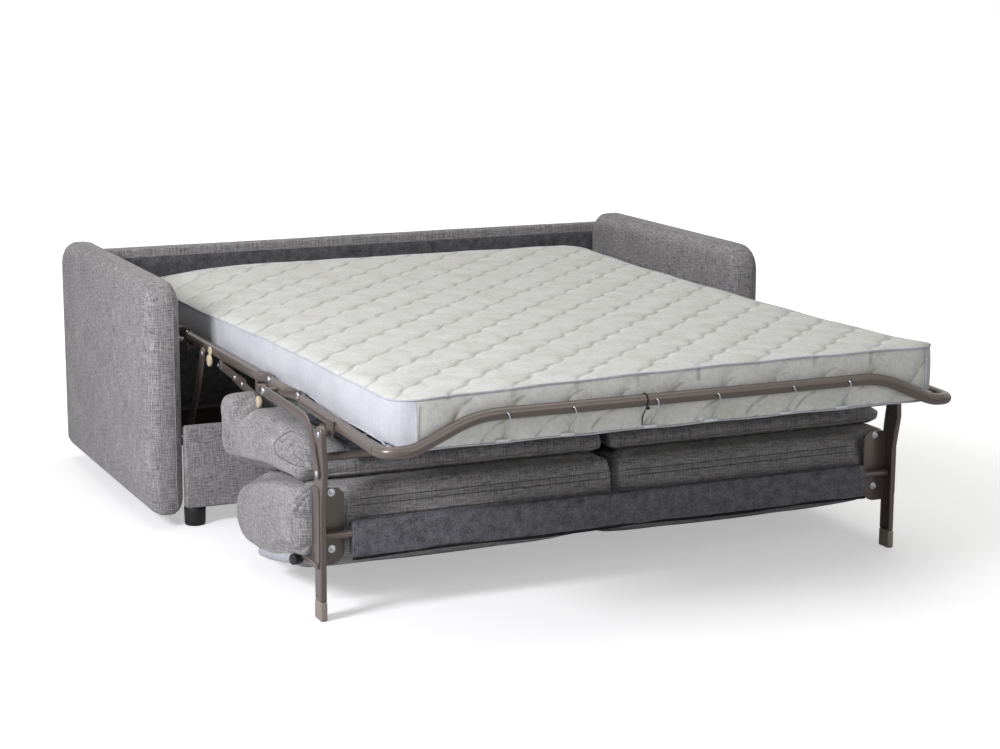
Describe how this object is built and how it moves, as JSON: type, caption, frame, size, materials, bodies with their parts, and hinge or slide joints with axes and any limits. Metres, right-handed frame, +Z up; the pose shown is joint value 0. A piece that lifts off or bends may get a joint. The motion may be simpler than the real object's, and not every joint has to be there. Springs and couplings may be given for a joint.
{
  "type": "sleeper sofa",
  "caption": "Sofa bed shown open: padded arms and back around a folding steel frame with a three-part mattress, seat and back cushions folded under it.",
  "frame": {"origin": "centre of the bounding box, on the floor", "axes": "+Z up, +Y from the foot of the open bed to the sofa back, +X to the right seen from the foot"},
  "size_m": [1.822, 2.134, 0.65],
  "materials": {
    "sofa_fabric": "woven",
    "rail_fabric": "woven",
    "felt": "felted",
    "black_lining": "plain",
    "ticking": "quilted",
    "frame_paint": "gloss",
    "wire": "zinc",
    "timber": "plain",
    "cap_plastic": "satin",
    "foot_plastic": "satin",
    "nylon": "satin"
  },
  "bodies": {
    "base": {"arm_right": "sofa_fabric", "arm_left": "sofa_fabric", "front_rail": "rail_fabric", "back_panel": "sofa_fabric", "back_lining": "black_lining", "rear_beam": "timber", "foot_front_right": "foot_plastic", "foot_front_left": "foot_plastic", "foot_rear_right": "foot_plastic", "foot_rear_left": "foot_plastic", "side_plate_right": "frame_paint", "side_plate_left": "frame_paint"},
    "swing_front": {"swing_arm_front_right": "frame_paint", "swing_arm_front_left": "frame_paint"},
    "swing_rear": {"swing_arm_rear_right": "frame_paint", "swing_arm_rear_left": "frame_paint"},
    "middle_frame": {"mid_rail_right": "frame_paint", "mid_rail_left": "frame_paint", "mid_cross_tube_front": "frame_paint", "mid_cross_tube_rear": "frame_paint", "tie_rod_right": "frame_paint", "tie_rod_left": "frame_paint", "roller_right": "nylon", "roller_left": "nylon", "support_mesh_mid": "wire", "mattress_mid": "ticking"},
    "head_frame": {"head_rail_right": "frame_paint", "head_rail_left": "frame_paint", "head_cross_tube": "frame_paint", "support_mesh_head": "wire", "mattress_head": "ticking", "mattress_fold_rear": "ticking"},
    "fold_links": {"fold_link_right": "frame_paint", "fold_link_left": "frame_paint", "mattress_fold_front": "ticking"},
    "foot_frame": {"foot_rail_right": "frame_paint", "foot_rail_left": "frame_paint", "foot_bar": "frame_paint", "foot_cross_tube": "frame_paint", "support_mesh_foot": "wire", "mattress_foot": "ticking", "leg_lug_right": "frame_paint", "leg_lug_left": "frame_paint"},
    "leg_and_back": {"leg_right": "frame_paint", "leg_left": "frame_paint", "leg_cap_right": "cap_plastic", "leg_cap_left": "cap_plastic", "leg_bracket_right": "frame_paint", "leg_bracket_left": "frame_paint", "lower_crossbar": "frame_paint", "upper_crossbar": "frame_paint", "back_cushion_right": "sofa_fabric", "back_cushion_left": "sofa_fabric", "back_felt": "felt"},
    "seat": {"seat_cushion_right": "sofa_fabric", "seat_cushion_left": "sofa_fabric", "seat_felt": "felt"},
    "struts": {"strut_right": "frame_paint", "strut_left": "frame_paint"}
  },
  "joints": [
    {"name": "swing_turn", "type": "hinge", "parent": "base", "child": "swing_front", "pos_m": [0, 0.3554, 0.18467], "axis": [1, 0, 0], "range_deg": [-138, 0]},
    {"name": "middle_level", "type": "hinge", "parent": "swing_front", "child": "middle_frame", "pos_m": [0, 0.197, 0.452], "axis": [1, 0, 0], "range_deg": [0, 138]},
    {"name": "rear_swing_turn", "type": "hinge", "parent": "base", "child": "swing_rear", "pos_m": [0, 0.5554, 0.18467], "axis": [1, 0, 0], "range_deg": [-138, 0]},
    {"name": "head_fold", "type": "hinge", "parent": "middle_frame", "child": "head_frame", "pos_m": [0, 0.427, 0.465], "axis": [1, 0, 0], "range_deg": [0, 90], "deforming": ["mattress_fold_rear", "mattress_head"]},
    {"name": "link_fold", "type": "hinge", "parent": "middle_frame", "child": "fold_links", "pos_m": [0, -0.263, 0.465], "axis": [1, 0, 0], "range_deg": [-90, 0], "deforming": ["mattress_fold_front"]},
    {"name": "foot_fold", "type": "hinge", "parent": "fold_links", "child": "foot_frame", "pos_m": [0, -0.473, 0.465], "axis": [1, 0, 0], "range_deg": [-90, 0]},
    {"name": "leg_turn", "type": "hinge", "parent": "foot_frame", "child": "leg_and_back", "pos_m": [0, -0.753, 0.435], "axis": [1, 0, 0], "range_deg": [-90, 0]},
    {"name": "seat_turn", "type": "hinge", "parent": "leg_and_back", "child": "seat", "pos_m": [0, -0.678, 0.32], "axis": [1, 0, 0], "range_deg": [0, 90]},
    {"name": "strut_turn", "type": "hinge", "parent": "fold_links", "child": "struts", "pos_m": [0, -0.383, 0.465], "axis": [1, 0, 0], "range_deg": [-90, 0]}
  ],
  "couplings": [
    {"joint": "middle_level", "follows": "swing_turn", "ratio": -1},
    {"joint": "rear_swing_turn", "follows": "swing_turn", "ratio": 1},
    {"joint": "head_fold", "follows": "swing_turn", "ratio": -0.65217},
    {"joint": "link_fold", "follows": "swing_turn", "ratio": 0.65217},
    {"joint": "foot_fold", "follows": "swing_turn", "ratio": 0.65217},
    {"joint": "leg_turn", "follows": "swing_turn", "ratio": 0.65217},
    {"joint": "seat_turn", "follows": "swing_turn", "ratio": -0.65217},
    {"joint": "strut_turn", "follows": "swing_turn", "ratio": 0.65217}
  ]
}
